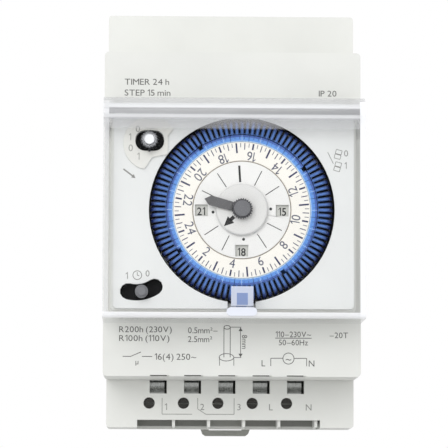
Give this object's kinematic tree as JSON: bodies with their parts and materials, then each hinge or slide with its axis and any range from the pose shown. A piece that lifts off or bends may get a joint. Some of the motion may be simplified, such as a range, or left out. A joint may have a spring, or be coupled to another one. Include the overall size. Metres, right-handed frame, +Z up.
{
  "type": "programmable timer",
  "caption": "Rail-mounted 24-hour analogue time switch with a hinged clear cover, a dial of switching tappets, clock hands, a mode slider and terminals.",
  "frame": {"origin": "centre of the face that seats on the 35 mm mounting rail", "axes": "+X right seen from the front, +Y into the rail, +Z up along the height"},
  "size_m": [0.0524, 0.0654, 0.0871],
  "materials": {
    "housing": "moulded light grey",
    "panel": "moulded light grey",
    "clear": "clear polycarbonate",
    "latch": "moulded grey",
    "blue": "moulded blue",
    "white": "moulded white",
    "grey": "moulded grey",
    "black": "moulded black",
    "steel": "plain",
    "brass": "plain",
    "copper": "copper alloy",
    "board": "laminate"
  },
  "bodies": {
    "frame": {"base_housing": "housing", "cap_housing": "housing", "front_panel": "panel", "indicator_plate": "white", "slot_backing": "black", "clock_face": "white", "centre_tube": "white", "movement_front_plate": "steel", "movement_rear_plate": "steel", "pillar_1": "steel", "pillar_2": "steel", "pillar_3": "steel", "pillar_4": "steel", "stator": "steel", "coil_bobbin": "white", "coil_winding": "copper", "microswitch_body": "black", "circuit_board": "board", "battery": "grey", "capacitor": "blue", "cage_clamp_1": "steel", "cage_clamp_2": "steel", "cage_clamp_3": "steel", "cage_clamp_4": "steel", "cage_clamp_5": "steel", "busbar_1": "copper", "busbar_2": "copper", "busbar_3": "copper", "busbar_4": "copper", "busbar_5": "copper", "rail_latch_spring": "steel"},
    "cover": {"clear_cover": "clear"},
    "latch": {"rail_latch": "latch"},
    "override": {"override_knob": "white", "ratchet_wheel": "black"},
    "mode": {"mode_lever": "black", "mode_knob": "grey"},
    "dial": {"program_ring": "blue", "ring_gear": "white", "tappet_ring": "blue", "scale_ring": "white"},
    "tappet_a": {"tappet_1": "blue"},
    "tappet_b": {"tappet_2": "blue"},
    "tappet_c": {"tappet_3": "blue"},
    "tappet_d": {"tappet_4": "blue"},
    "numbers": {"number_disc": "white"},
    "hour": {"hour_disc": "white", "hour_wheel": "white"},
    "minute": {"minute_arbor": "steel", "minute_hand": "grey", "setting_knob": "grey", "minute_pinion": "brass"},
    "motion": {"motion_wheel": "brass"},
    "drive": {"drive_wheel": "white", "clutch_spring": "steel"},
    "third": {"third_wheel": "white"},
    "rotor": {"rotor": "grey"},
    "feeler": {"feeler_lever": "steel"},
    "plunger": {"microswitch_plunger": "grey"}
  },
  "joints": [
    {"name": "cover_hinge", "type": "hinge", "parent": "frame", "child": "cover", "pos_m": [0, -0.0485, 0.0202], "axis": [-1, 0, 0], "range_deg": [0, 95]},
    {"name": "rail_latch_slide", "type": "slide", "parent": "frame", "child": "latch", "axis": [0, 0, -1], "range_m": [0, 0.0025], "stiffness_N_per_m": 800, "springref_m": -0.002, "deforming": ["rail_latch_spring"]},
    {"name": "override_spin", "type": "hinge", "parent": "frame", "child": "override", "pos_m": [-0.017, -0.05, 0.0134], "axis": [0, 1, 0], "continuous": true},
    {"name": "mode_select", "type": "hinge", "parent": "frame", "child": "mode", "pos_m": [-0.0195, -0.053, -0.0105], "axis": [0, -1, 0], "range_deg": [-20, 20]},
    {"name": "dial_spin", "type": "hinge", "parent": "frame", "child": "dial", "pos_m": [0.0016, -0.05, -0.00045], "axis": [0, 1, 0], "continuous": true},
    {"name": "hour_spin", "type": "hinge", "parent": "frame", "child": "hour", "pos_m": [0.0016, -0.05, -0.00045], "axis": [0, 1, 0], "continuous": true},
    {"name": "minute_spin", "type": "hinge", "parent": "frame", "child": "minute", "pos_m": [0.0016, -0.05, -0.00045], "axis": [0, 1, 0], "continuous": true},
    {"name": "motion_spin", "type": "hinge", "parent": "frame", "child": "motion", "pos_m": [-0.00547, -0.05, -0.00752], "axis": [0, 1, 0], "continuous": true},
    {"name": "drive_spin", "type": "hinge", "parent": "frame", "child": "drive", "pos_m": [0.0016, -0.05, -0.00045], "axis": [0, 1, 0], "continuous": true},
    {"name": "third_spin", "type": "hinge", "parent": "frame", "child": "third", "pos_m": [-0.01087, -0.05, 0.00675], "axis": [0, 1, 0], "continuous": true},
    {"name": "rotor_spin", "type": "hinge", "parent": "frame", "child": "rotor", "pos_m": [-0.01808, -0.05, -0.00046], "axis": [0, 1, 0], "continuous": true},
    {"name": "number_disc_turn", "type": "hinge", "parent": "frame", "child": "numbers", "pos_m": [0.0016, -0.0543, -0.00045], "axis": [0, 1, 0], "range_deg": [0, 30]},
    {"name": "feeler_hinge", "type": "hinge", "parent": "frame", "child": "feeler", "pos_m": [0.021, -0.053, -0.0115], "axis": [0, -1, 0], "range_deg": [0, 6], "stiffness_Nm_per_rad": 0.0005, "springref_deg": -11.46},
    {"name": "plunger_press", "type": "slide", "parent": "frame", "child": "plunger", "axis": [0, 0, -1], "range_m": [0, 0.0005]},
    {"name": "tappet_a_flip", "type": "hinge", "parent": "dial", "child": "tappet_a", "pos_m": [0.01573, -0.0525, 0.00899], "axis": [0.5556, 0, -0.8315], "range_deg": [0, 16]},
    {"name": "tappet_b_flip", "type": "hinge", "parent": "dial", "child": "tappet_b", "pos_m": [-0.00784, -0.0525, 0.01368], "axis": [0.8315, 0, 0.5556], "range_deg": [0, 16]},
    {"name": "tappet_c_flip", "type": "hinge", "parent": "dial", "child": "tappet_c", "pos_m": [-0.01253, -0.0525, -0.00989], "axis": [-0.5556, 0, 0.8315], "range_deg": [0, 16]},
    {"name": "tappet_d_flip", "type": "hinge", "parent": "dial", "child": "tappet_d", "pos_m": [0.01104, -0.0525, -0.01459], "axis": [-0.8315, 0, -0.5556], "range_deg": [0, 16]}
  ],
  "couplings": [
    {"joint": "hour_spin", "follows": "dial_spin", "ratio": 2},
    {"joint": "minute_spin", "follows": "dial_spin", "ratio": 24},
    {"joint": "motion_spin", "follows": "dial_spin", "ratio": -8},
    {"joint": "third_spin", "follows": "drive_spin", "ratio": -8},
    {"joint": "rotor_spin", "follows": "drive_spin", "ratio": 60},
    {"joint": "plunger_press", "follows": "feeler_hinge", "m_per_rad": 0.004}
  ]
}
